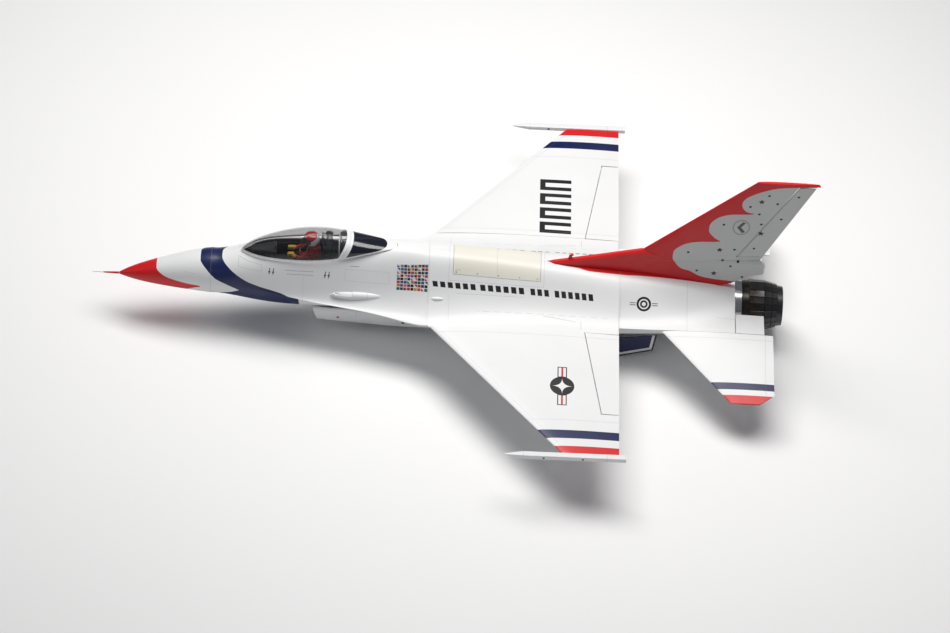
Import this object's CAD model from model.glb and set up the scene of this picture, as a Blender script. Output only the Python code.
# %% [markdown]
# # A large turbine-powered jet model, painted and fitted out
# The airframe, its control surfaces, gear and engine come from the CAD frame and stay exactly where they
# are. This lesson paints them, and models what a CAD sketch leaves plain: the pilot's helmet and harness,
# the seat cushions, the sight glass, the exhaust petals, screws and small fairings.

# %% Load the frame
import math

import bpy
from mathutils import Matrix, Vector


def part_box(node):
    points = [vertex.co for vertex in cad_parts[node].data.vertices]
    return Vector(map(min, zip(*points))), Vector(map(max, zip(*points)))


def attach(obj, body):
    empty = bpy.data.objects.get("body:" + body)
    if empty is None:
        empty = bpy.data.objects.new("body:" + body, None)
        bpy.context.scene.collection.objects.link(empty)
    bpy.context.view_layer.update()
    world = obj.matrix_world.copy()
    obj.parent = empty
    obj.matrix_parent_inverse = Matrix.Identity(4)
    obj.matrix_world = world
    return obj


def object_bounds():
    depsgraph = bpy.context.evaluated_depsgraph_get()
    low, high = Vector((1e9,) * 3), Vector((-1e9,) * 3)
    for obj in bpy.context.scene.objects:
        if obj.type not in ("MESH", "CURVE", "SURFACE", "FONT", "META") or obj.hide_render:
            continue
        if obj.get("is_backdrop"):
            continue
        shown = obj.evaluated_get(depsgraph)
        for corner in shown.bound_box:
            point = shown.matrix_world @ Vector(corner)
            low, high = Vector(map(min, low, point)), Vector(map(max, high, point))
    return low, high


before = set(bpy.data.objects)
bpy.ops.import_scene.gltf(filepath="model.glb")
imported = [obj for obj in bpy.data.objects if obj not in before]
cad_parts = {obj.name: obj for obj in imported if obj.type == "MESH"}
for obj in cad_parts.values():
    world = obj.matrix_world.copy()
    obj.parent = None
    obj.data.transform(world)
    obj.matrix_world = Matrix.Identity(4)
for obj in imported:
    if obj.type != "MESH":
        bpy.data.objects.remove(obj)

cad_low, cad_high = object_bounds()
print("frame", len(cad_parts), "nodes, box", tuple(cad_low), tuple(cad_high))

# %% [markdown]
# A model maker measures an aircraft from a datum. Here it is the wing's trailing edge, on the centre line
# and in the plane of the wing, so every place below is given in millimetres aft, to starboard and up from
# it. The datum itself is read from the wing's own box, so the looks follow the frame.

# %% The datum
MM = 0.001
wing_low, wing_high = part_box("wing_left")
DATUM = Vector((wing_high.x, 0.0, (wing_low.z + wing_high.z) / 2))


def at(x, y, z):
    """A point given in millimetres from the datum, in metres in the frame."""
    return DATUM + Vector((x, y, z)) * MM


print("datum", tuple(DATUM))

# %% [markdown]
# Camera first. The model is seen from high on its port side with a long lens, so its shape is almost that
# of a drawing. The camera leans over a little, which is worked out here from three angles.

# %% Camera
AZIMUTH, ELEVATION, ROLL = math.radians(-0.99), math.radians(47.374), math.radians(3.16)
camera_data = bpy.data.cameras.new("camera")
camera_data.lens = 148.69
camera_data.clip_end = 80
camera = bpy.data.objects.new("camera", camera_data)
bpy.context.scene.collection.objects.link(camera)
back = Vector((
    math.sin(AZIMUTH) * math.cos(ELEVATION),
    -math.cos(AZIMUTH) * math.cos(ELEVATION),
    math.sin(ELEVATION),
))
level = Vector((0, 0, 1)).cross(back).normalized()
above = back.cross(level)
right = level * math.cos(ROLL) + above * math.sin(ROLL)
up = above * math.cos(ROLL) - level * math.sin(ROLL)
turn = Matrix((right, up, back)).transposed()
camera.matrix_world = Matrix.Translation((-0.0626, -9.2234, 10.0471)) @ turn.to_4x4()
bpy.context.scene.camera = camera
print("camera looks along", tuple(round(v, 3) for v in -back))

# %% [markdown]
# A pale floor and large soft lights keep the shadows quiet: one big panel overhead a little to starboard,
# with only a little fill from the port side and from ahead, so the near side falls to a soft grey. The plain
# colour transform is used, because paint that was mixed to be bright should stay bright.

# %% Floor and lights
bpy.context.scene.view_settings.view_transform = "Standard"
world = bpy.data.worlds.new("studio")
bpy.context.scene.world = world
world.use_nodes = True
world.node_tree.nodes["Background"].inputs["Color"].default_value = (0.90, 0.94, 1.0, 1)
world.node_tree.nodes["Background"].inputs["Strength"].default_value = 0.17


def softbox(name, place, aim, size, power, tint):
    """A rectangular studio light that points at a place."""
    data = bpy.data.lights.new(name, "AREA")
    data.shape = "RECTANGLE"
    data.size, data.size_y = size
    data.energy = power
    data.color = tint
    lamp = bpy.data.objects.new(name, data)
    bpy.context.scene.collection.objects.link(lamp)
    lamp.location = place
    lamp.rotation_euler = (Vector(aim) - Vector(place)).to_track_quat("-Z", "Y").to_euler()


softbox("overhead", (0.3, 0.75, 3.9), (0, 0.1, 0.1), (4.2, 1.7), 186, (1.0, 0.985, 0.965))
softbox("port_fill", (-0.8, -4.4, 2.6), (0, 0, 0.2), (3.2, 1.6), 7, (0.90, 0.95, 1.0))
softbox("nose_glow", (-4.2, -0.6, 2.4), (-0.8, 0, 0.2), (2.4, 2.6), 10, (1.0, 0.99, 0.97))

# %% [markdown]
# The shader arithmetic is written as plain expressions. A Wire stands for a socket in a node tree, and
# adding or multiplying wires adds the Math nodes. A Finish is one material: its node() method makes any
# node from a type, its settings and what goes into its sockets, and the small methods under it are the
# shapes that a masking film can have: an edge, a band, a line and a disc.

# %% Wires and finishes


class Wire:
    """A socket in a finish's node tree, on which arithmetic adds Math nodes."""

    def __init__(self, finish, socket):
        self.finish = finish
        self.socket = socket

    def math(self, operation, first, second=0.0):
        return self.finish.node("ShaderNodeMath", {"operation": operation}, {0: first, 1: second})

    def __add__(self, other):
        return self.math("ADD", self, other)

    def __radd__(self, other):
        return self.math("ADD", other, self)

    def __sub__(self, other):
        return self.math("SUBTRACT", self, other)

    def __rsub__(self, other):
        return self.math("SUBTRACT", other, self)

    def __mul__(self, other):
        return self.math("MULTIPLY", self, other)

    def __rmul__(self, other):
        return self.math("MULTIPLY", other, self)

    def __or__(self, other):
        return self.math("MAXIMUM", self, other)

    def __and__(self, other):
        return self.math("MINIMUM", self, other)

    def __abs__(self):
        return self.math("ABSOLUTE", self)

    def __mod__(self, other):
        return self.math("FLOORED_MODULO", self, other)


class Finish:
    """One material, built from nodes in millimetres from the datum."""

    def __init__(self, name):
        self.material = bpy.data.materials.new(name)
        self.material.use_nodes = True
        self.tree = self.material.node_tree
        self.shader = self.tree.nodes["Principled BSDF"]
        self.place = self.node("ShaderNodeTexCoord", out="Object")
        metres = [self.node("ShaderNodeSeparateXYZ", None, {0: self.place}, out) for out in "XYZ"]
        self.x, self.y, self.z = [(metres[n] - DATUM[n]) * 1000 for n in range(3)]
        self.out = abs(self.y)

    def node(self, kind, settings=None, sockets=None, out=0):
        made = self.tree.nodes.new(kind)
        for key, value in (settings or {}).items():
            if key == "stops":
                self.set_stops(made.color_ramp, value)
            elif key == "points":
                self.set_points(made.mapping, value)
            else:
                setattr(made, key, value)
        for key, value in (sockets or {}).items():
            if isinstance(value, Wire):
                self.tree.links.new(value.socket, made.inputs[key])
            else:
                made.inputs[key].default_value = value
        return Wire(self, made.outputs[out])

    @staticmethod
    def set_stops(ramp, stops):
        ramp.interpolation = "CONSTANT"
        while len(ramp.elements) < len(stops):
            ramp.elements.new(0.5)
        for element, (place, colour) in zip(ramp.elements, stops):
            element.position = place
            element.color = colour

    @staticmethod
    def set_points(mapping, points):
        curve = mapping.curves[0]
        while len(curve.points) < len(points):
            curve.points.new(0.5, 0.5)
        for point, (given, out, handle) in zip(curve.points, points):
            point.location = (given, out)
            point.handle_type = handle
        mapping.update()

    def past(self, value, limit, soft=0.5):
        """1 where the value is beyond the limit, with an edge soft millimetres wide."""
        sockets = {"Value": value, "From Min": limit - soft / 2, "From Max": limit + soft / 2}
        return self.node("ShaderNodeMapRange", None, sockets)

    def before(self, value, limit, soft=0.5):
        """1 where the value is short of the limit."""
        sockets = {"Value": value, "From Min": limit - soft / 2, "From Max": limit + soft / 2}
        sockets.update({"To Min": 1.0, "To Max": 0.0})
        return self.node("ShaderNodeMapRange", None, sockets)

    def band(self, value, low, high, soft=0.5):
        """1 where the value is between two limits."""
        return self.past(value, low, soft) & self.before(value, high, soft)

    def patch(self, u, v, box, soft=0.5):
        """A rectangle of masking film: box is (low u, high u, low v, high v)."""
        return self.band(u, box[0], box[1], soft) & self.band(v, box[2], box[3], soft)

    def scribe(self, value, place, width=0.9):
        """A panel line where the value passes a place."""
        return self.before(abs(value - place), width / 2, 0.4)

    def frame_line(self, u, v, box, width=0.9):
        """The outline of a rectangle."""
        outer = self.patch(u, v, (box[0] - width, box[1] + width, box[2] - width, box[3] + width), 0.4)
        return outer * (1.0 - self.patch(u, v, box, 0.4))

    def span(self, u, v):
        """How far a point is from the middle of u and v."""
        return self.root(u * u + v * v)

    def root(self, value):
        """The square root of a value."""
        return self.node("ShaderNodeMath", {"operation": "SQRT"}, {0: value})

    def curve(self, value, points, handle="AUTO_CLAMPED"):
        """A curve through (in, out) points, as drawn with a bent batten, or straight with VECTOR handles."""
        low, high = points[0][0], points[-1][0]
        floor = min(out for _, out in points)
        rise = max(out for _, out in points) - floor
        shape = [((given - low) / (high - low), (out - floor) / rise, handle) for given, out in points]
        share = (value - low) * (1 / (high - low))
        clamped = self.node("ShaderNodeClamp", None, {0: share})
        drawn = self.node("ShaderNodeFloatCurve", {"points": shape}, {"Value": clamped})
        return drawn * rise + floor

    def noise(self, size, detail=2.0, seed=0.0):
        """Soft random values from 0 to 1 whose spots are about size millimetres wide."""
        sockets = {"Vector": self.place, "Scale": 1000 / size, "Detail": detail, "W": seed}
        return self.node("ShaderNodeTexNoise", {"noise_dimensions": "4D"}, sockets)

    def mix(self, mask, under, over):
        """One colour over another, where the mask is 1."""
        return self.node("ShaderNodeMix", {"data_type": "RGBA"}, {0: mask, 6: under, 7: over}, 2)

    def bump(self, height, depth, strength=1.0, under=None):
        """A surface that stands up by depth millimetres where height is 1."""
        sockets = {"Strength": strength, "Distance": depth * MM, "Height": height}
        if under:
            sockets["Normal"] = under
        return self.node("ShaderNodeBump", None, sockets)

    def done(self, **sockets):
        """Feed the shader's sockets. Names are written with _ for a space."""
        for name, value in sockets.items():
            socket = self.shader.inputs[name.replace("_", " ")]
            if isinstance(value, Wire):
                self.tree.links.new(value.socket, socket)
            else:
                socket.default_value = value
        return self


def cover(finish, *names):
    """Give CAD nodes a finish."""
    for name in names:
        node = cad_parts[name]
        if not node.material_slots:
            node.data.materials.append(None)
        for holder in node.material_slots:
            holder.material = finish.material
    print(finish.material.name, "covers", ", ".join(names))


# %% [markdown]
# Two-pack paint on a moulded shell is not one even colour. It has a very fine orange peel, is a touch
# greyer where hands and exhaust have been, and its gloss comes and goes. Panel lines hold a little dirt and
# are cut into the surface. All of the painted skins share this, and differ in their masks.

# %% Paint colours and the paint itself
WHITE = (0.78, 0.785, 0.79, 1)
CREAM = (0.76, 0.735, 0.65, 1)
RED = (0.63, 0.006, 0.010, 1)
NAVY = (0.002, 0.009, 0.072, 1)
INK = (0.012, 0.012, 0.015, 1)
PALE_GREY = (0.58, 0.585, 0.58, 1)
GRIME = (0.30, 0.28, 0.25, 1)


def painted(finish, colour, lines=None, rough=0.38, coat=0.10):
    """Finish a skin: its livery colour, its panel lines, and the wear and texture of real paint."""
    soil = finish.past(finish.noise(150, 4.0), 0.62, 0.5) * 0.07
    worn = finish.mix(soil, colour, GRIME)
    if lines:
        worn = finish.mix(lines * 0.55, worn, GRIME)
    gloss = finish.noise(45, 3.0, 4.0) * 0.12 + (rough - 0.06)
    peel = finish.bump(finish.noise(2.2, 2.0, 9.0), 0.05, 0.35)
    normal = finish.bump(1.0 - lines, 0.35, 1.0, peel) if lines else peel
    finish.shader.inputs["Coat Weight"].default_value = coat
    finish.shader.inputs["Coat Roughness"].default_value = 0.10
    finish.shader.inputs["Specular IOR Level"].default_value = 0.3
    return finish.done(Base_Color=worn, Roughness=gloss, Normal=normal)


# %% [markdown]
# The nose and forward fuselage carry the boldest shapes: a red tip that sweeps back to a point low on the
# side, and a navy band that falls aft and under. Each edge is a curve of station against height, drawn the
# way a painter lays a batten, so both sides of the nose match without any image. Small stencils are plain
# bars and ticks, and the panel of squares on the shoulder is a random quilt of colours.

# %% Forward fuselage paint
RED_EDGE = [(-60, -1492), (-36, -1478), (-20, -1456), (-8, -1436), (-3, -1480), (2, -1516), (11, -1557),
            (21, -1579), (28, -1588), (45, -1589)]
BAND_FRONT = [(-60, -1378), (-41, -1368), (-22, -1326), (-7, -1302), (16, -1347), (33, -1383), (63, -1417),
              (76, -1436), (92, -1439)]
BAND_REAR = [(-60, -1096), (-14, -1098), (0, -1122), (10, -1160), (22, -1228), (35, -1270), (49, -1296),
             (72, -1336), (86, -1362), (96, -1367)]
QUILT = [
    (0.0, INK), (0.28, (0.42, 0.02, 0.02, 1)), (0.46, (0.55, 0.30, 0.05, 1)), (0.54, (0.02, 0.05, 0.2, 1)),
    (0.68, (0.62, 0.62, 0.60, 1)), (0.77, (0.02, 0.14, 0.10, 1)), (0.86, (0.50, 0.12, 0.03, 1)),
    (0.94, (0.08, 0.22, 0.34, 1)),
]


def quilt(finish, box, cells):
    """A panel of little colour blocks with white gaps. Returns its colour and its mask."""
    u = (finish.x - box[0]) * (cells[0] / (box[1] - box[0]))
    v = (finish.z - box[2]) * (cells[1] / (box[3] - box[2]))
    colours = []
    for shift in (0.0, 7.5):
        column = finish.node("ShaderNodeMath", {"operation": "FLOOR"}, {0: u})
        row = finish.node("ShaderNodeMath", {"operation": "FLOOR"}, {0: v})
        cell = finish.node("ShaderNodeCombineXYZ", None, {0: column, 1: row, 2: shift})
        chance = finish.node("ShaderNodeTexWhiteNoise", None, {"Vector": cell}, "Value")
        colours.append(finish.node("ShaderNodeValToRGB", {"stops": QUILT}, {0: chance}))
    across = finish.past((u * 0.5 + v * 0.5) % 1.0, 0.5, 0.02)
    blocks = finish.mix(across, colours[0], colours[1])
    filled = finish.band(u % 1.0, 0.06, 0.94, 0.04) & finish.band(v % 1.0, 0.08, 0.92, 0.04)
    return blocks, filled * finish.patch(finish.x, finish.z, box)


forward = Finish("forward_paint")
red_tip = forward.before(forward.x - forward.curve(forward.z, RED_EDGE), 0.0)
in_band = forward.past(forward.x - forward.curve(forward.z, BAND_FRONT, "VECTOR"), 0.0)
in_band = in_band & forward.before(forward.x - forward.curve(forward.z, BAND_REAR, "VECTOR"), 0.0)
skin = forward.mix(in_band, WHITE, NAVY)
skin = forward.mix(red_tip, skin, RED)
squares, squares_mask = quilt(forward, (-764, -657, 56, 134), (9, 8))
skin = forward.mix(squares_mask, skin, squares)
ticks = None
TICK_STATIONS = (-1198, -1185, -1008, -995)
for station in TICK_STATIONS:
    lean = forward.x - station - (forward.z - 88) * 0.12
    stroke = forward.before(abs(lean), 1.3) & forward.band(forward.z, 76, 98)
    cross = forward.before(abs(lean), 3.6) & forward.band(forward.z, 83, 87)
    ticks = stroke | cross if ticks is None else ticks | stroke | cross
for low_x, high_x, height in ((-1146, -1047, 95.5), (-1138, -1047, 83.5)):
    dashes = forward.past((forward.x * 0.11 + height) % 1.0, 0.24, 0.1)
    row = forward.patch(forward.x, forward.z, (low_x, high_x, height - 1, height + 1))
    ticks = ticks | (row * dashes * 0.6)
ticks = ticks | (forward.patch(forward.x, forward.z, (-923, -892, 118.5, 120.0)) * 0.7)
skin = forward.mix(ticks, skin, INK)
side_only = forward.past(forward.out, 20.0)
forward_lines = forward.scribe(forward.x, -1400)
forward_lines = forward_lines | forward.frame_line(forward.x, forward.z, (-1305, -1226, 84, 103)) * side_only
forward_lines = forward_lines | forward.scribe(forward.x, -655) * forward.past(forward.z, 30)
forward_lines = forward_lines | forward.scribe(forward.x, -1083, 0.7) * forward.before(forward.z, 100)
forward_lines = forward_lines | forward.patch(forward.x, forward.z, (-1492, -1453, 41, 42))
shoulder_hatch = forward.frame_line(forward.x, forward.z, (-940, -790, 72, 108), 0.7)
forward_lines = forward_lines | shoulder_hatch * side_only
painted(forward, skin, forward_lines)
cover(forward, "nose_cone", "forward_fuselage")

# %% [markdown]
# The long lettering of a full-size aircraft is left off. In its place each side has a run of plain blocks
# in four groups, which gives the same rhythm and says nothing. Behind it, the hatch is a slightly warmer
# white, because a hatch is moulded apart and yellows on its own, and shows its fastener heads.

# %% Centre fuselage, hatch and rear fuselage paint
BLOCK_RUNS = ((-638, -493, 6), (-477, -329, 6), (-307, -245, 3), (-225, -95, 6))


def dorsal_stripe(finish):
    """The red that spreads from the foot of the spine onto the fuselage, as a half width by station."""
    half = finish.curve(finish.x, [(-256, 0), (-209, 12), (-149, 17), (-83, 27), (0, 27), (65, 23), (208, 15),
                                   (320, 10), (345, 0)])
    return finish.before(finish.out - half, 0.0) & finish.past(finish.z, 40)


centre = Finish("centre_paint")
leaned = centre.x + (centre.z - 70) * 0.22
runs = None
for low_x, high_x, count in BLOCK_RUNS:
    pitch = (high_x - low_x) / (count - 0.34)
    run = centre.band(leaned, low_x, high_x) * centre.before((leaned - low_x) % pitch, pitch * 0.66)
    runs = run if runs is None else runs | run
above_line = centre.z + centre.x * 0.0497 - 49.6
ink = runs * centre.before(abs(above_line), 7.5) * centre.past(centre.out, 50)
slit = centre.out - (centre.x + 261) * 0.13 - 165
slit_mask = centre.patch(centre.x, slit, (-261, -150, -0.8, 0.8))
skin = centre.mix(ink, WHITE, INK)
skin = centre.mix(dorsal_stripe(centre), skin, RED)
lines = centre.scribe(centre.x, -583, 0.7) * centre.band(centre.out, 117, 196)
lines = lines | slit_mask
lines = lines | centre.patch(centre.x, centre.out, (-131, -129.6, 176, 209))
dash = centre.past((centre.x * 0.027) % 1.0, 0.38, 0.05) * centre.band(centre.x, -486, -40)
lines = lines | centre.scribe(centre.out, 160) * dash * centre.past(centre.z, 0)
lines = lines | centre.scribe(centre.x, -2.0, 0.8)
lines = lines | centre.frame_line(centre.x, centre.out, (-586, -262, -1, 83), 0.7) * centre.past(centre.z, 60)
shoulder_line = centre.scribe(centre.out, 112, 0.7) * centre.band(centre.x, -560, -330)
lines = lines | shoulder_line * centre.past(centre.z, 0)
painted(centre, skin, lines)
cover(centre, "centre_fuselage", "main_gear_door_left", "main_gear_door_right")

hatch = Finish("hatch_paint")
hook = hatch.patch(hatch.x, hatch.out, (-564, -562.6, 60, 69))
hook = hook | hatch.patch(hatch.x, hatch.out, (-564, -546, 59, 60.4))
painted(hatch, CREAM, hatch.scribe(hatch.x, -423, 0.7) * hatch.before(hatch.out, 60) | hook)
cover(hatch, "equipment_hatch")

rear = Finish("rear_paint")
across = (104.0 - rear.out) * 0.765 + (rear.z - 36) * 0.645
reach = rear.span(rear.x - 83, across)
disc = rear.before(reach, 25.0)
ring = rear.band(reach, 13.0, 17.5)
core = rear.before(reach, 7.0)
wings = rear.patch(abs(rear.x - 83), across, (28, 48, -8, 8))
wings = wings * rear.past((across + 9.8) % 7.0, 4.6, 0.3)
skin = rear.mix(disc | wings, WHITE, INK)
skin = rear.mix(ring | core, skin, WHITE)
skin = rear.mix(dorsal_stripe(rear), skin, RED)
lines = rear.scribe(rear.x, 232, 0.8) * rear.past(rear.z, -150)
lines = lines | rear.frame_line(rear.x, rear.z, (250, 330, -60, -25), 0.7) * rear.past(rear.out, 60)
lines = lines | rear.scribe(rear.out, 128, 0.8) * rear.past(rear.x, 331) * rear.past(rear.z, -6)
painted(rear, skin, lines)
cover(rear, "rear_fuselage")

# %% [markdown]
# The wing, its flaperons and the launch rails are white with three stripes at the tips. The port wing has
# a plain target disc with bars, and the starboard one four heavy blocks, where a full-size aircraft has its
# marks. The same masks run across wing and flaperon, so a stripe that crosses the hinge lines up.

# %% Wing paint
wing = Finish("wing_paint")
skin = wing.mix(wing.band(wing.out, 662, 697), WHITE, NAVY)
skin = wing.mix(wing.past(wing.out, 730), skin, RED)
u, v = wing.x + 192, wing.y + 470
reach = wing.span(u, v)
disc = wing.before(reach, 41.0)
bars = wing.patch(u, abs(v), (-16, 16, 38, 85))
open_bars = wing.patch(u, abs(v), (-12.5, 12.5, 40, 81.5)) * wing.past(reach, 42.5)
red_bars = wing.patch(u, abs(v), (-3.2, 3.2, 40, 81.5)) * wing.past(reach, 42.5)
marks = disc | bars
inner = wing.before(wing.root(abs(u)) + wing.root(abs(v)), 6.0, 0.1)
blocks = wing.patch(wing.x, wing.y, (-277, -167, 236, 508))
blocks = blocks * wing.before((wing.y - 236) % 70.0, 54.0)
hollow = wing.band((wing.y - 236) % 70.0, 17.0, 37.0) * wing.band(wing.x, -258, -167)
marks = (marks | blocks * (1.0 - hollow)) * wing.past(wing.z, 0)
skin = wing.mix(marks, skin, INK)
skin = wing.mix((inner | open_bars) * wing.past(wing.z, 0), skin, WHITE)
skin = wing.mix(red_bars * wing.past(wing.z, 0), skin, RED)
sweep = wing.x + (762.0 - wing.out) * 0.8395
lines = wing.scribe(sweep, -166, 0.7) * wing.band(wing.out, 240, 740)
lines = lines | wing.scribe(wing.out, 618, 0.7) | wing.scribe(wing.out, 244, 0.7)
lines = lines | wing.patch(wing.x, wing.out, (-62, -2, 584, 585.2))
rivets = wing.before((wing.out * 0.1) % 1.0, 0.16, 0.06) * wing.scribe(sweep, -158, 1.2)
painted(wing, skin, lines | rivets * 0.5 * wing.band(wing.out, 240, 740))
cover(wing, "wing_left", "wing_right", "flaperon_left", "flaperon_right")

rail = Finish("rail_paint")
dots = None
for station in (-250, -120):
    dot = rail.before(rail.span(rail.x - station, rail.z), 4.0)
    dots = dot if dots is None else dots | dot
skin = rail.mix(dots, WHITE, INK)
painted(rail, skin, rail.scribe(rail.x, -317, 0.8) | rail.scribe(rail.x, -40, 0.8), 0.32, 0.35)
cover(rail, "launch_rail_left", "launch_rail_right")

# %% [markdown]
# The tail has the most masking film on it. The fin is red, and a white field reaches forward over it in
# three scallops, with small stars and dots scattered on the white. The scallops are one curve of station
# against height with sharp turns where two of them meet. The emblem is a plain ring with a chevron.

# %% Fin, stabilator and ventral fin paint
SCALLOPS = [(66, 420), (73, 360), (80, 305), (90, 270), (113, 234), (125, 204), (151, 183), (180, 172),
            (204, 173), (229, 191), (249, 223), (258, 266), (263, 328), (270, 318), (288, 299), (315, 285),
            (338, 286), (367, 304), (387, 336), (395, 380), (399, 431), (405, 412), (417, 396), (443, 387),
            (467, 396), (492, 427), (510, 462), (521, 490), (528, 530), (531, 600), (533, 700)]
STARS = ((451, 458), (462, 304), (329, 221), (318, 106))
DOTS = ((474, 488), (415, 433), (505, 450), (448, 399), (524, 375), (333, 344), (459, 350), (223, 205),
        (379, 223), (445, 229), (343, 171), (396, 166), (372, 144), (259, 116), (416, 93), (573, 484))

fin = Finish("fin_paint")
white_field = fin.past(fin.x - fin.curve(fin.z, SCALLOPS), 0.0, 0.8)
spots = None
for x, z in DOTS:
    spot = fin.before(fin.span(fin.x - x, fin.z - z), 4.6)
    spots = spot if spots is None else spots | spot
for x, z in STARS:
    u, v = fin.x - x, fin.z - z
    angle = fin.node("ShaderNodeMath", {"operation": "ARCTAN2"}, {0: u, 1: v})
    point = abs((angle * (2.5 / math.pi)) % 1.0 - 0.5)
    spots = spots | fin.before(fin.span(u, v) - point * 13.0, 4.2)
reach = fin.span((fin.x - 393) * 1.25, fin.z - 333)
emblem = fin.band(reach, 31.0, 37.0) * 0.4
chevron = fin.before(abs((fin.x - 385) - abs(fin.z - 333) * 0.7), 7.0) * fin.before(reach, 27.0)
skin = fin.mix(white_field, RED, PALE_GREY)
skin = fin.mix((spots | emblem | chevron * 0.85) * white_field, skin, INK)
lines = fin.scribe(fin.z, 160, 0.7) * fin.past(fin.x, 70)
painted(fin, skin, lines | fin.patch(fin.x, fin.z, (342, 343.2, 164, 178)))
cover(fin, "vertical_fin", "rudder")

stab = Finish("stabilator_paint")
skin = stab.mix(stab.band(stab.out, 383, 409), WHITE, NAVY)
skin = stab.mix(stab.past(stab.out, 430), skin, RED)
painted(stab, skin, stab.scribe(stab.out, 212, 0.7) | stab.scribe(stab.x, 500, 0.7))
cover(
    stab, "stabilator_left", "stabilator_right", "speed_brake_upper_left", "speed_brake_upper_right",
    "speed_brake_lower_left", "speed_brake_lower_right",
)

ventral = Finish("ventral_fin_paint")
low_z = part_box("ventral_fins")[0].z / MM - DATUM.z / MM
lower = ventral.z - low_z - (ventral.x - 12) * 0.24
fore = (ventral.x + 70) * 0.6 + (ventral.z + 138) * 0.8
aft = (139 - ventral.x) * 0.98 + (ventral.z + 112) * 0.16
edge = (lower & fore) & aft
skin = ventral.mix(ventral.before(edge, 16.0), NAVY, WHITE)
skin = ventral.mix(ventral.before(edge, 7.0), skin, INK)
painted(ventral, skin)
cover(ventral, "ventral_fins")

# %% Intake, fairings, canopy frames and probe paint
intake = Finish("intake_paint")
red_dot = intake.before(intake.span(intake.x + 962, intake.z + 118), 5.0) * intake.past(intake.out, 60)
vent = intake.patch(intake.x, intake.z, (-742, -732, -128, -112)) * intake.past(intake.out, 60)
skin = intake.mix(red_dot, WHITE, RED)
skin = intake.mix(vent, skin, INK)
lines = intake.scribe(intake.x, -900, 0.7) | intake.scribe(intake.x, -760, 0.7)
lines = lines | intake.scribe(intake.z, -128, 0.7) * intake.band(intake.x, -900, -650)
painted(intake, skin, lines)
cover(intake, "intake_nacelle", "nose_gear_door")

fairing = Finish("fairing_paint")
painted(fairing, WHITE, fairing.scribe(fairing.x, -861, 0.8))
cover(fairing, "gun_fairing")

frames = Finish("canopy_frame_paint")
rivets = frames.before((frames.x * 0.055) % 1.0, 0.12, 0.05)
painted(frames, WHITE, rivets * frames.before(frames.z, 150) * 0.5)
cover(frames, "canopy_frame", "aft_canopy_frame")

probe = Finish("probe_paint")
bare = probe.before(probe.x, -1775)
painted(probe, probe.mix(bare, RED, (0.55, 0.56, 0.58, 1)), probe.scribe(probe.x, -1724, 0.7))
probe.done(Metallic=bare)
cover(probe, "pitot_probe")

# %% [markdown]
# The metal parts differ in how they were worked. The ring behind the tail is polished and brushed round,
# so its grain follows the angle about the thrust line. The nozzle is heat-darkened, with soft bands of
# straw and blue. Turned struts and pins are plain bright steel with fine rings.

# %% Metals
ENGINE_Z = -55.0


def round_grain(finish, size):
    """Grain that runs round the thrust line: fine along it and stretched the other way."""
    rise = finish.z - ENGINE_Z
    angle = finish.node("ShaderNodeMath", {"operation": "ARCTAN2"}, {0: finish.y, 1: rise})
    grain = finish.node("ShaderNodeCombineXYZ", None, {0: finish.x, 1: angle * 4.0, 2: 0.0})
    return finish.node("ShaderNodeTexNoise", None, {"Vector": grain, "Scale": 1 / size, "Detail": 3.0})


polished = Finish("polished_ring")
grain = round_grain(polished, 0.8)
tint = polished.mix(polished.noise(60), (0.60, 0.60, 0.61, 1), (0.50, 0.50, 0.53, 1))
polished.done(
    Base_Color=tint, Metallic=1.0, Roughness=grain * 0.16 + 0.13, Normal=polished.bump(grain, 0.03, 0.5),
)
cover(polished, "nozzle_ring")

burnt = Finish("burnt_metal")
grain = round_grain(burnt, 2.0)
heat = burnt.noise(38, 4.0)
tone = burnt.mix(burnt.past(heat, 0.52, 0.22), (0.022, 0.021, 0.021, 1), (0.055, 0.044, 0.036, 1))
tone = burnt.mix(burnt.past(burnt.x, 500, 90) * 0.5, tone, (0.085, 0.088, 0.10, 1))
burnt.done(Base_Color=tone, Metallic=0.85, Roughness=grain * 0.2 + 0.22, Normal=burnt.bump(grain, 0.12, 0.6))
cover(burnt, "exhaust_nozzle", "tailpipe")

steel = Finish("bright_steel")
rings = steel.node("ShaderNodeTexNoise", None, {"Vector": steel.place, "Scale": 700.0, "Detail": 4.0})
tint = steel.mix(steel.past(steel.noise(30, 3.0), 0.55, 0.3), (0.56, 0.57, 0.58, 1), (0.42, 0.42, 0.43, 1))
steel.done(Base_Color=tint, Metallic=1.0, Roughness=rings * 0.2 + 0.18, Normal=steel.bump(rings, 0.02, 0.4))
cover(
    steel, "hinge_pins", "main_gear_leg_left", "main_gear_leg_right", "nose_gear_leg", "nose_gear_fork",
    "canopy_hinge_arms", "stabilator_bearings",
)

alloy = Finish("machined_alloy")
swirl = alloy.noise(1.4, 3.0)
tint = alloy.mix(alloy.past(alloy.noise(18, 4.0), 0.5, 0.4), (0.62, 0.63, 0.64, 1), (0.44, 0.45, 0.47, 1))
alloy.done(Base_Color=tint, Metallic=1.0, Roughness=swirl * 0.22 + 0.24, Normal=alloy.bump(swirl, 0.03, 0.5))
cover(
    alloy, "nose_rim", "main_left_rim", "main_right_rim", "retract_units", "canopy_guides", "turbine_mount",
    "turbine",
)

# %% [markdown]
# What the hatch and gear bays hide still has its own finish: rubber with a dusty tread, birch plywood with
# its grain along the sheet, woven carbon tube, a translucent fuel tank and dark moulded plastic.

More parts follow.
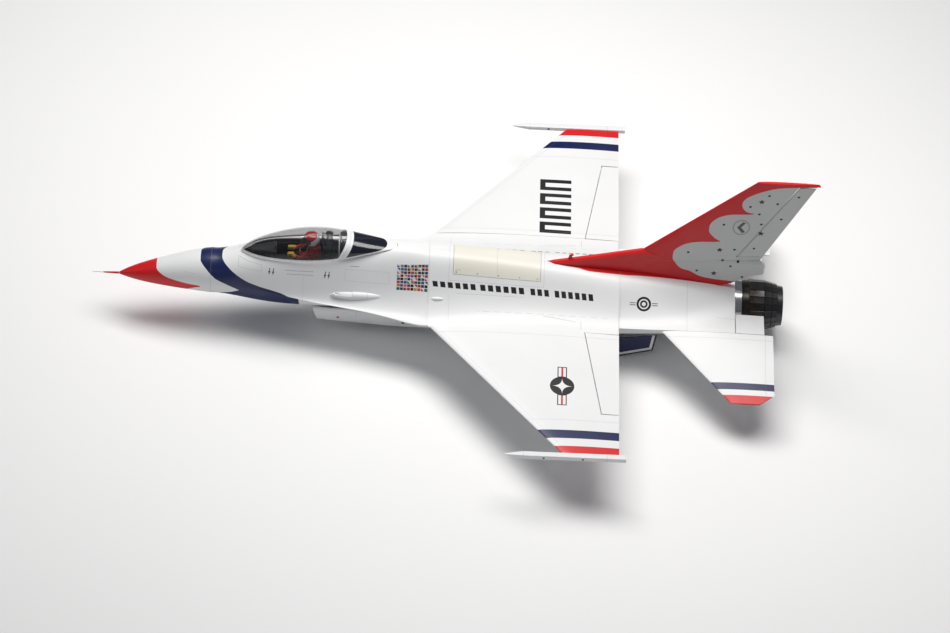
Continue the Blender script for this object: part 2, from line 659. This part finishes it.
# %% Rubber, wood, carbon, tank and plastics
rubber = Finish("tyre_rubber")
dust = rubber.past(rubber.noise(9, 4.0), 0.5, 0.3)
grit = rubber.noise(0.9, 2.0)
rubber.done(
    Base_Color=rubber.mix(dust * 0.35, (0.018, 0.018, 0.019, 1), (0.09, 0.085, 0.075, 1)),
    Roughness=grit * 0.2 + 0.62, Normal=rubber.bump(grit, 0.12, 0.7),
)
cover(rubber, "nose_tyre", "main_left_tyre", "main_right_tyre")

ply = Finish("birch_plywood")
streak = ply.node("ShaderNodeCombineXYZ", None, {0: ply.x * 0.4, 1: ply.y * 0.05, 2: ply.z * 0.9})
fibre = ply.node("ShaderNodeTexNoise", None, {"Vector": streak, "Scale": 1.0, "Detail": 5.0})
ply.done(
    Base_Color=ply.mix(fibre, (0.56, 0.38, 0.20, 1), (0.36, 0.22, 0.10, 1)),
    Roughness=fibre * 0.2 + 0.5, Normal=ply.bump(fibre, 0.1, 0.6),
)
cover(ply, "fuselage_formers")

carbon = Finish("carbon_tube")
weave = abs((carbon.x + carbon.y) * 0.25 % 1.0 - 0.5) * 2.0
cross = abs((carbon.x - carbon.y) * 0.25 % 1.0 - 0.5) * 2.0
twill = carbon.past(weave - cross, 0.0, 0.5)
carbon.done(
    Base_Color=carbon.mix(twill, (0.012, 0.012, 0.013, 1), (0.05, 0.05, 0.053, 1)),
    Roughness=twill * 0.15 + 0.22, Normal=carbon.bump(twill, 0.08, 0.6),
)
cover(carbon, "wing_joiner_tubes")

tank = Finish("fuel_tank_plastic")
mould = tank.noise(1.6, 2.0)
level = tank.past(tank.z, 38, 3.0)
tank.done(
    Base_Color=tank.mix(level, (0.58, 0.50, 0.28, 1), (0.74, 0.73, 0.66, 1)),
    Roughness=mould * 0.15 + 0.35, Normal=tank.bump(mould, 0.06, 0.5),
)
tank.shader.inputs["Subsurface Weight"].default_value = 0.2
cover(tank, "fuel_tank")


def moulded(name, colour, other, size, rough, *names):
    """Moulded plastic with a fine spark texture and slow colour drift."""
    plastic = Finish(name)
    spark = plastic.noise(size, 2.0)
    drift = plastic.past(plastic.noise(26, 3.0), 0.5, 0.4)
    plastic.done(
        Base_Color=plastic.mix(drift * 0.8, colour, other),
        Roughness=spark * 0.16 + rough, Normal=plastic.bump(spark, 0.08, 0.6),
    )
    if names:
        cover(plastic, *names)
    return plastic


moulded("electronics_case", (0.03, 0.03, 0.034, 1), (0.05, 0.05, 0.06, 1), 0.7, 0.4, "servos",
        "batteries_and_receiver")
moulded("duct_gelcoat", (0.62, 0.62, 0.60, 1), (0.50, 0.50, 0.48, 1), 1.2, 0.35, "intake_duct")
tub = moulded("cockpit_tub_paint", (0.035, 0.010, 0.012, 1), (0.014, 0.012, 0.014, 1), 0.8, 0.45,
              "cockpit_tub")
seat_dark = moulded("seat_plastic", (0.055, 0.058, 0.065, 1), (0.03, 0.031, 0.036, 1), 0.6, 0.4,
                    "ejection_seat")

panel = Finish("instrument_panel_paint")
dial = None
for y, z, size in ((-18, 116, 7), (0, 116, 8), (18, 116, 7), (-12, 98, 6), (12, 98, 6), (0, 98, 4)):
    reach = panel.span(panel.y - y, panel.z - z)
    needle = panel.before(abs(panel.y - y), 0.5) * panel.before(reach, size)
    mark = panel.band(reach, size - 1.2, size) | needle
    dial = mark if dial is None else dial | mark
grain = panel.noise(0.7)
panel.done(
    Base_Color=panel.mix(dial * panel.past(panel.x, -1180), (0.015, 0.015, 0.016, 1), (0.45, 0.48, 0.45, 1)),
    Roughness=grain * 0.2 + 0.5, Normal=panel.bump(grain, 0.06, 0.5),
)
cover(panel, "instrument_panel")

suit = Finish("flight_suit")
thread = suit.noise(0.5, 2.0)
crease = suit.noise(9, 3.0)
gloves = suit.before(suit.x, -1112, 2.0) * suit.past(suit.z, 105)
boots = suit.before(suit.x, -1098, 2.0) * suit.before(suit.z, 102)
cloth = suit.mix(crease, (0.66, 0.012, 0.014, 1), (0.40, 0.006, 0.008, 1))
cloth = suit.mix(gloves, cloth, (0.80, 0.50, 0.02, 1))
cloth = suit.mix(boots, cloth, (0.02, 0.02, 0.02, 1))
suit.done(
    Base_Color=cloth, Roughness=thread * 0.15 + 0.7,
    Normal=suit.bump(crease, 1.2, 0.8, suit.bump(thread, 0.1, 0.6)),
)
suit.shader.inputs["Sheen Weight"].default_value = 0.25
cover(suit, "pilot_figure")

# %% [markdown]
# The canopy is thin smoked acrylic. Glass that only transmits would need many light bounces for so thin a
# shell, so the shader is mostly see-through alpha under a clear glossy coat, which also exports well. The
# aft pane is darker.

# %% Glazing


def glazing(name, tint, alpha, gloss, *names):
    """Smoked acrylic: a dark tint with the given alpha and a bright clean gloss."""
    pane = Finish(name)
    haze = pane.noise(70, 2.0)
    pane.done(
        Base_Color=pane.mix(haze, tint, tuple(0.8 * part for part in tint[:3]) + (1,)),
        Alpha=haze * 0.05 + alpha, Roughness=haze * 0.03 + gloss,
    )
    pane.shader.inputs["Coat Weight"].default_value = 0.35
    pane.shader.inputs["Coat Roughness"].default_value = 0.01
    pane.material.surface_render_method = "BLENDED"
    cover(pane, *names)


glazing("smoked_canopy", (0.025, 0.027, 0.034, 1), 0.20, 0.02, "canopy_glass")
glazing("dark_canopy", (0.008, 0.010, 0.022, 1), 0.86, 0.12, "aft_canopy_glass")

# %% [markdown]
# The rest is modelled here. Every piece starts as a primitive, is shaped in edit mode by picking faces by
# their place and direction, and then rides on one of the frame's bodies so that it moves with it. These
# helpers hold what the pieces share. Places stay in millimetres from the datum.

# %% Modelling helpers


def begin(kind, name, place=(0, 0, 0), **sizes):
    """Add a primitive, alone in the selection, with its middle at a place in millimetres."""
    bpy.ops.object.select_all(action="DESELECT")
    getattr(bpy.ops.mesh, "primitive_" + kind + "_add")(location=at(*place), **sizes)
    piece = bpy.context.object
    piece.name = name
    return piece


def pick(piece, test):
    """Enter edit mode with the faces picked whose middle (mm from the piece's own) and normal pass."""
    bpy.ops.object.mode_set(mode="OBJECT")
    bpy.context.tool_settings.mesh_select_mode = (False, False, True)
    for part in (piece.data.vertices, piece.data.edges):
        part.foreach_set("select", [False] * len(part))
    for face in piece.data.polygons:
        face.select = bool(test(face.center / MM, face.normal))
    bpy.ops.object.mode_set(mode="EDIT")


def stretch(piece, x, y, z):
    """Scale a piece along the three axes and make that its true shape."""
    piece.scale = (x, y, z)
    bpy.ops.object.transform_apply(location=False, rotation=False, scale=True)


def thicken(piece, depth, offset=1.0):
    """Give an open skin a wall, in millimetres."""
    bpy.ops.object.mode_set(mode="OBJECT")
    wall = piece.modifiers.new("wall", "SOLIDIFY")
    wall.thickness, wall.offset = depth * MM, offset
    bpy.ops.object.modifier_apply(modifier=wall.name)


def settle(piece, body, finish, angle=35):
    """Put a finished piece at the origin, paint it, and let it ride on a body."""
    bpy.ops.object.mode_set(mode="OBJECT")
    bpy.ops.object.transform_apply(location=True, rotation=True, scale=True)
    bpy.ops.object.shade_smooth_by_angle(angle=math.radians(angle))
    piece.data.materials.clear()
    piece.data.materials.append(finish.material)
    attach(piece, body)
    print(piece.name, len(piece.data.polygons), "faces, rides", body)


def plumb(node, x, y):
    """Where a plumb line at x, y first meets a CAD node from above, and the surface's direction there."""
    hit, place, normal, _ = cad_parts[node].ray_cast(at(x, y, 400), Vector((0, 0, -1)))
    return place, normal


# %% [markdown]
# The pilot wears a hard shell helmet. The shell is a sphere with its face opening cut away and a wall put
# on it, the visor is a second, slightly larger sphere cut down to the opening, and the mask is a block that
# is drawn in towards a round port, where a hose made by spinning a ring leaves it.

# %% Helmet, visor, mask and hose
HEAD = (-1057, 0, 181)
helmet_paint = Finish("helmet_paint")
brow = helmet_paint.z - HEAD[2] - (helmet_paint.x - HEAD[0]) * 0.55
skin = helmet_paint.mix(helmet_paint.past(brow, 10.0), (0.62, 0.63, 0.64, 1), RED)
skin = helmet_paint.mix(helmet_paint.scribe(brow, 9.0, 2.0), skin, INK)
helmet_paint.done(
    Base_Color=skin, Roughness=helmet_paint.noise(12) * 0.1 + 0.16,
    Normal=helmet_paint.bump(helmet_paint.noise(2.0), 0.04, 0.3),
)
helmet = begin("uv_sphere", "helmet_shell", HEAD, segments=48, ring_count=32, radius=0.0245)
stretch(helmet, 1.06, 0.97, 1.0)
pick(helmet, lambda c, n: c.x < -8 and -19 < c.z < 9 and abs(c.y) < 19 - c.z * 0.2)
bpy.ops.mesh.delete(type="FACE")
pick(helmet, lambda c, n: c.z < -15)
bpy.ops.mesh.delete(type="FACE")
pick(helmet, lambda c, n: abs(c.x - 3) < 8 and abs(c.z + 5) < 8 and abs(c.y) > 15)
bpy.ops.mesh.inset(thickness=0.0015)
bpy.ops.mesh.extrude_region_shrink_fatten(TRANSFORM_OT_shrink_fatten={"value": 0.002})
thicken(helmet, 1.6)
settle(helmet, "airframe", helmet_paint)

visor_film = Finish("visor_film")
visor_film.done(
    Base_Color=visor_film.mix(visor_film.noise(25), (0.010, 0.011, 0.014, 1), (0.03, 0.026, 0.02, 1)),
    Roughness=visor_film.noise(10) * 0.05 + 0.04,
)
visor = begin("uv_sphere", "helmet_visor", HEAD, segments=48, ring_count=32, radius=0.0262)
stretch(visor, 1.06, 0.98, 1.0)
pick(visor, lambda c, n: not (c.x < -5 and -5 < c.z < 12))
bpy.ops.mesh.delete(type="FACE")
thicken(visor, 1.0)
settle(visor, "airframe", visor_film)

mask_rubber = moulded("mask_rubber", (0.05, 0.052, 0.05, 1), (0.03, 0.031, 0.03, 1), 0.6, 0.42)
mask = begin("cube", "oxygen_mask", (HEAD[0] - 22, 0, HEAD[2] - 11), size=0.018)
pick(mask, lambda c, n: n.x < -0.9)
bpy.ops.mesh.inset(thickness=0.004)
bpy.ops.transform.translate(value=(-0.006, 0, -0.003))
bpy.ops.mesh.inset(thickness=0.002)
bpy.ops.transform.translate(value=(-0.003, 0, -0.001))
bpy.ops.mesh.select_all(action="SELECT")
bpy.ops.mesh.bevel(offset=0.0022, segments=3)
settle(mask, "airframe", mask_rubber, 50)

hose = begin("circle", "oxygen_hose", (HEAD[0] - 30, 0, HEAD[2] - 14), vertices=14, radius=0.0034)
bpy.ops.object.mode_set(mode="EDIT")
bpy.ops.mesh.select_all(action="SELECT")
bpy.ops.mesh.spin(
    steps=26, angle=math.radians(150), center=at(HEAD[0] - 14, 0, HEAD[2] - 18), axis=(0, -1, 0.25),
)
pick(hose, lambda c, n: round(c.x * 1.7 + c.z * 1.3) % 2 == 0)
bpy.ops.transform.shrink_fatten(value=0.0006)
settle(hose, "airframe", mask_rubber, 60)

# %% [markdown]
# Gloves are rounded blocks with a cuff and four fingers drawn out of the front face. The harness straps are
# narrow grids wrapped onto the figure and thickened, so they follow the chest instead of floating over it.

# %% Gloves and harness
glove_leather = Finish("glove_leather")
pore = glove_leather.noise(0.8, 2.0)
glove_leather.done(
    Base_Color=glove_leather.mix(glove_leather.noise(7, 3.0), (0.86, 0.56, 0.03, 1), (0.66, 0.38, 0.02, 1)),
    Roughness=pore * 0.15 + 0.5, Normal=glove_leather.bump(pore, 0.1, 0.6),
)
for side, mark in ((-1, "left"), (1, "right")):
    glove = begin("cube", "glove_" + mark, (-1129, side * 16, 118), size=0.013)
    bpy.ops.object.mode_set(mode="EDIT")
    bpy.ops.mesh.select_all(action="SELECT")
    bpy.ops.mesh.subdivide(number_cuts=3)
    pick(glove, lambda c, n: n.x < -0.9 and abs(c.z) > 2)
    bpy.ops.mesh.extrude_region_move(TRANSFORM_OT_translate={"value": (-0.006, 0, -0.002)})
    pick(glove, lambda c, n: n.x > 0.9)
    bpy.ops.mesh.extrude_region_move(TRANSFORM_OT_translate={"value": (0.006, 0, 0)})
    bpy.ops.transform.resize(value=(1, 1.25, 1.25))
    bpy.ops.mesh.select_all(action="SELECT")
    bpy.ops.mesh.vertices_smooth(factor=0.5, repeat=2)
    bpy.ops.object.mode_set(mode="OBJECT")
    soft = glove.modifiers.new("soft", "SUBSURF")
    soft.levels = 2
    bpy.ops.object.modifier_apply(modifier=soft.name)
    settle(glove, "airframe", glove_leather, 60)

webbing = Finish("harness_webbing")
thread = webbing.before(webbing.z * 0.9 % 1.0, 0.5, 0.3)
webbing.done(
    Base_Color=webbing.mix(webbing.noise(5, 3.0), (0.70, 0.64, 0.48, 1), (0.55, 0.49, 0.36, 1)),
    Roughness=thread * 0.1 + 0.75, Normal=webbing.bump(thread, 0.15, 0.6),
)
for side, mark in ((-1, "left"), (1, "right")):
    strap = begin("grid", "harness_strap_" + mark, (-1085, side * 11, 134), x_subdivisions=18,
                  y_subdivisions=3, size=0.001)
    stretch(strap, 62, 5.5, 1)
    strap.rotation_euler = (0, math.radians(-62), 0)
    wrap = strap.modifiers.new("wrap", "SHRINKWRAP")
    wrap.target, wrap.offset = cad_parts["pilot_figure"], 0.6 * MM
    bpy.ops.object.modifier_apply(modifier=wrap.name)
    thicken(strap, 1.0)
    settle(strap, "airframe", webbing, 50)

# %% [markdown]
# Behind the pilot stand a padded headrest, cream straps and a white arch that carries the canopy's fixed
# part. The arch is a ring cut in half by its faces and given depth.

# %% Headrest, back cushion, arch and sight glass
cushion_cloth = Finish("cushion_cloth")
weave = cushion_cloth.noise(0.5, 2.0)
cushion_cloth.done(
    Base_Color=cushion_cloth.mix(
        cushion_cloth.noise(14, 3.0), (0.10, 0.105, 0.11, 1), (0.06, 0.062, 0.066, 1)
    ),
    Roughness=weave * 0.15 + 0.72, Normal=cushion_cloth.bump(weave, 0.12, 0.6),
)
for name, place, sizes in (("headrest_cushion", (-1019, 0, 186), (9, 32, 24)),
                           ("back_cushion", (-1013, 0, 142), (9, 34, 52))):
    cushion = begin("cube", name, place, size=0.001)
    stretch(cushion, *sizes)
    bpy.ops.object.mode_set(mode="EDIT")
    bpy.ops.mesh.select_all(action="SELECT")
    bpy.ops.mesh.bevel(offset=0.0028, segments=3)
    pick(cushion, lambda c, n: n.x < -0.99)
    bpy.ops.mesh.inset(thickness=0.002)
    bpy.ops.mesh.inset(thickness=0.001, depth=-0.0008)
    bpy.ops.mesh.inset(thickness=0.004, depth=0.0022)
    settle(cushion, "airframe", cushion_cloth, 60)

arch_paint = Finish("arch_paint")
painted(arch_paint, WHITE, arch_paint.scribe(arch_paint.out, 24, 0.7))
arch = begin("cylinder", "canopy_arch", (-963, 0, 152), vertices=64, radius=0.042, depth=0.004,
             rotation=(0, math.radians(90), 0))
bpy.ops.object.transform_apply(location=False, rotation=True, scale=False)
pick(arch, lambda c, n: abs(n.x) > 0.9)
bpy.ops.mesh.inset(thickness=0.013)
bpy.ops.mesh.delete(type="FACE")
bpy.ops.mesh.select_all(action="SELECT")
bpy.ops.mesh.bisect(plane_co=at(-963, 0, 146), plane_no=(0, 0, 1), clear_inner=True)
thicken(arch, 1.5, -1.0)
settle(arch, "airframe", arch_paint)

sight = begin("cube", "sight_frame", (-1180, 0, 141), size=0.001)
stretch(sight, 4, 22, 16)
pick(sight, lambda c, n: abs(n.x) > 0.9)
bpy.ops.mesh.inset(thickness=0.002)
bpy.ops.mesh.bridge_edge_loops()
settle(sight, "airframe", mask_rubber)

# %% [markdown]
# The exhaust ends in overlapping metal petals. They are the faces of an open cone, each inset by itself and
# pushed out, with a plain band left at the front. Gun port, blisters and screws finish the outside.

# %% Exhaust petals
PETAL_MIDDLE, PETAL_RADIUS, TAPER_START, TAPER = 487, 84.6, 500, 0.27
petals = begin(
    "cone", "exhaust_petals", (PETAL_MIDDLE, 0, ENGINE_Z), vertices=22, radius1=0.0852, radius2=0.0795,
    depth=0.116, end_fill_type="NOTHING", rotation=(0, math.radians(90), 0),
)
bpy.ops.object.transform_apply(location=False, rotation=True, scale=False)
bpy.ops.object.mode_set(mode="EDIT")
bpy.ops.mesh.select_all(action="SELECT")
for cut in (447, TAPER_START, 526):
    bpy.ops.mesh.select_all(action="SELECT")
    bpy.ops.mesh.bisect(plane_co=at(cut, 0, ENGINE_Z), plane_no=(1, 0, 0))
bpy.ops.object.mode_set(mode="OBJECT")
for vertex in petals.data.vertices:
    reach = math.hypot(vertex.co.y, vertex.co.z)
    station = PETAL_MIDDLE + vertex.co.x / MM
    want = PETAL_RADIUS - max(0, station - TAPER_START) * TAPER
    vertex.co.y *= want * MM / reach
    vertex.co.z *= want * MM / reach
pick(petals, lambda c, n: c.x > -38)
bpy.ops.mesh.inset(thickness=0.0016, use_individual=True)
bpy.ops.transform.shrink_fatten(value=0.0018)
thicken(petals, 0.9)
settle(petals, "airframe", burnt, 20)

# %% Gun port, blisters and hatch screws
port_paint = Finish("gun_port_paint")
painted(port_paint, WHITE, port_paint.scribe(port_paint.x, -861, 0.8))
port = begin("uv_sphere", "gun_port", (-886, -113, 29), segments=40, ring_count=24, radius=0.001,
             rotation=(0, math.radians(90), 0))
bpy.ops.object.transform_apply(location=False, rotation=True, scale=False)
stretch(port, 99, 13.5, 12.5)
pick(port, lambda c, n: -84 < c.x < -22 and n.z > 0.3 and n.y < 0.6)
bpy.ops.mesh.inset(thickness=0.0012, use_even_offset=False)
bpy.ops.transform.translate(value=(0, 0.001, -0.006))
settle(port, "airframe", port_paint, 50)

for side, mark in ((-1, "left"), (1, "right")):
    place, normal = plumb("centre_fuselage", -622, side * 127)
    blister = begin("uv_sphere", "blister_" + mark, (0, 0, 0), segments=28, ring_count=16, radius=0.001,
                    rotation=(0, math.radians(90), 0))
    bpy.ops.object.transform_apply(location=False, rotation=True, scale=False)
    stretch(blister, 21, 6.0, 4.2)
    pick(blister, lambda c, n: n.x > 0.75)
    bpy.ops.mesh.inset(thickness=0.0006)
    bpy.ops.transform.translate(value=(-0.001, 0, 0))
    bpy.ops.object.mode_set(mode="OBJECT")
    blister.rotation_euler = (math.atan2(-normal.y, normal.z), 0, 0)
    blister.location = place
    settle(blister, "airframe", arch_paint, 50)

spots = [(x, side * 64) for x in (-562, -490, -418, -346, -284) for side in (-1, 1)]
for number, (x, y) in enumerate(spots):
    place, normal = plumb("equipment_hatch", x, y)
    name = f"hatch_screw_{number:02d}"
    screw = begin("cylinder", name, (0, 0, 0), vertices=20, radius=0.0024, depth=0.0016)
    pick(screw, lambda c, n: n.z > 0.9)
    bpy.ops.mesh.inset(thickness=0.0005)
    bpy.ops.mesh.inset(thickness=0.0009, depth=-0.0006)
    bpy.ops.object.mode_set(mode="OBJECT")
    screw.rotation_mode = "QUATERNION"
    screw.rotation_quaternion = Vector((0, 0, 1)).rotation_difference(normal)
    screw.location = place
    settle(screw, "equipment_hatch", steel, 30)

# %% Floor
bpy.ops.object.select_all(action="DESELECT")
bpy.ops.mesh.primitive_grid_add(x_subdivisions=8, y_subdivisions=8, size=26, location=(0, 4, -0.001))
floor = bpy.context.object
floor.name = "floor"
sweep_paper = Finish("floor_paper")
tooth = sweep_paper.noise(3, 2.0)
tone = sweep_paper.mix(sweep_paper.noise(900, 2.0), (0.92, 0.92, 0.92, 1), (0.89, 0.89, 0.89, 1))
sweep_paper.done(Base_Color=tone, Roughness=tooth * 0.1 + 0.7)
floor.data.materials.append(sweep_paper.material)
floor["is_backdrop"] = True

# %% Record the sizes and finish
low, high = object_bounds()
sizes = {"cad": [list(cad_low), list(cad_high)], "visual": [list(low), list(high)]}
print("visual box", tuple(low), tuple(high))
